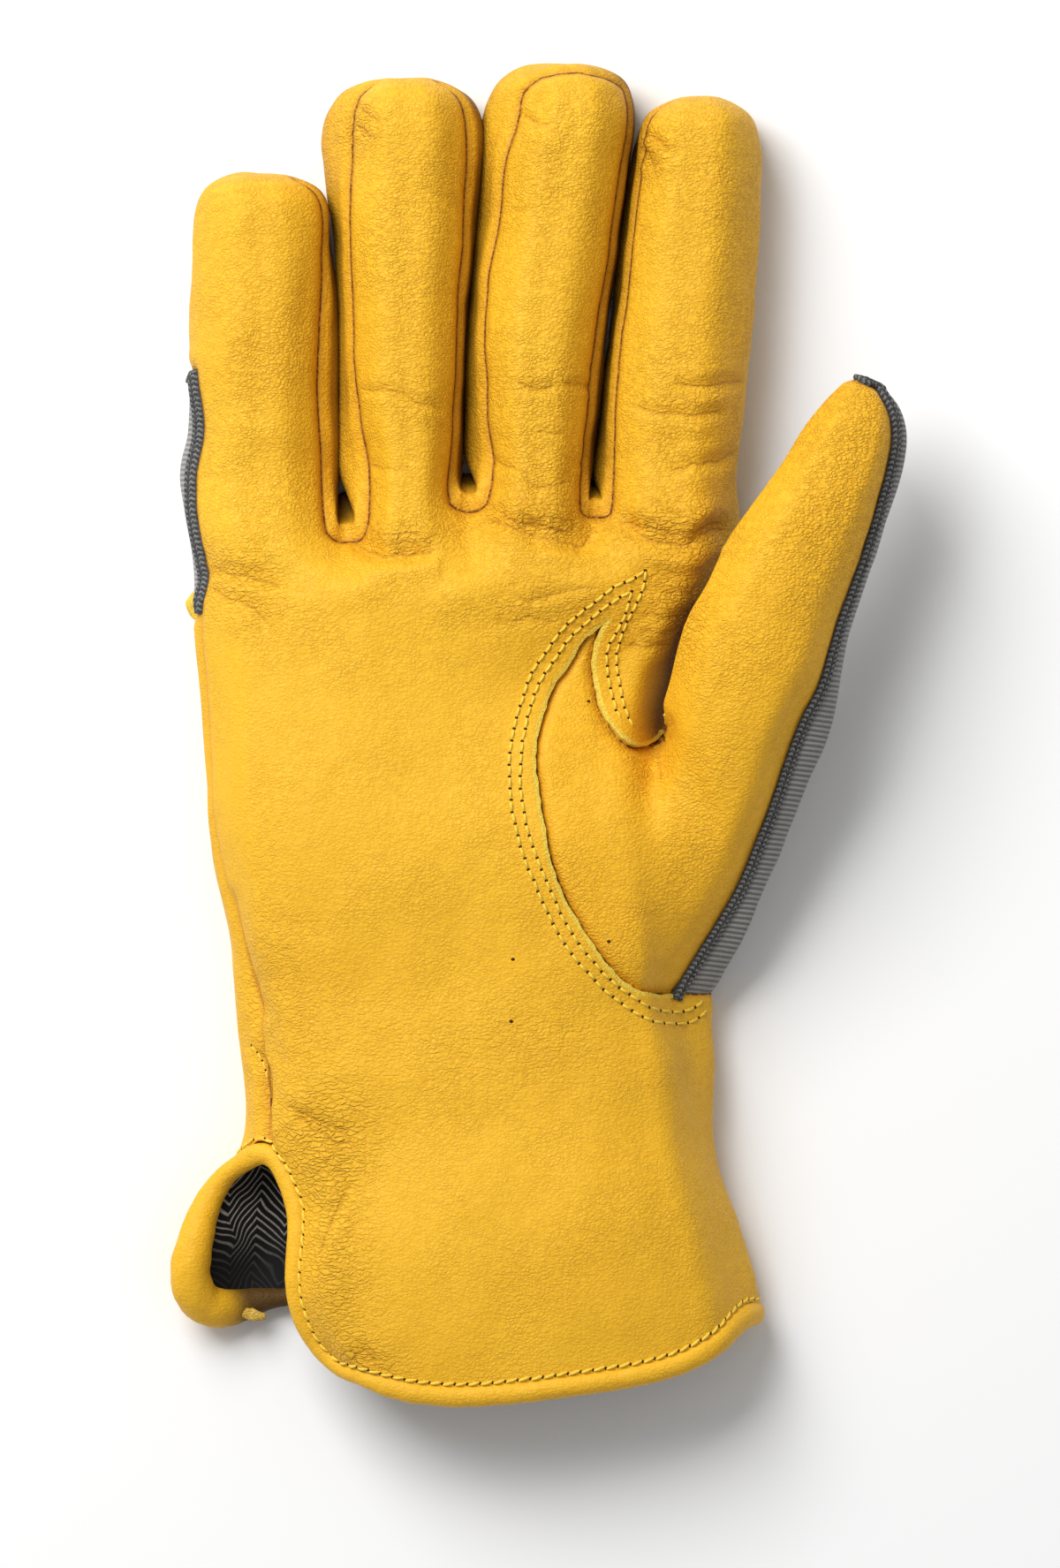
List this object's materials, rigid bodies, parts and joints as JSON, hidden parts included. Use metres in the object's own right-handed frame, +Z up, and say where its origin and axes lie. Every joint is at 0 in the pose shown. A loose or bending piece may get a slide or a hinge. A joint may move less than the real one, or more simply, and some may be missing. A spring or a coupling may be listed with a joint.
{
  "type": "leather work glove",
  "caption": "Right-hand leather work glove with ribbed fabric back, wing thumb, rolled cuff hem and side vent, lying palm up.",
  "frame": {"origin": "under the middle of the glove, on the surface that it lies on", "axes": "+Y towards the fingertips, +X towards the thumb, +Z up out of the palm"},
  "size_m": [0.1426, 0.262, 0.0391],
  "materials": {
    "leather": "pebble-grain goatskin, satin",
    "hem_leather": "smooth rolled leather, satin",
    "fabric": "cross-ribbed grey stretch cloth, matte",
    "lining": "black cloth with thin light stripes, matte",
    "edge_tape": "overlocked dark edge, matte",
    "thread": "pale yellow sewing thread, satin"
  },
  "bodies": {
    "root": {"palm_panel": "leather", "thumb_front": "leather", "thumb_back": "fabric", "back_fabric": "fabric", "back_cuff": "leather", "fourchette_little_ring": "leather", "fourchette_ring_middle": "leather", "fourchette_middle_index": "leather", "fingertip_cap_little": "leather", "fingertip_cap_ring": "leather", "fingertip_cap_middle": "leather", "fingertip_cap_index": "leather", "cuff_lining": "lining", "cuff_binding": "hem_leather"}
  },
  "joints": []
}
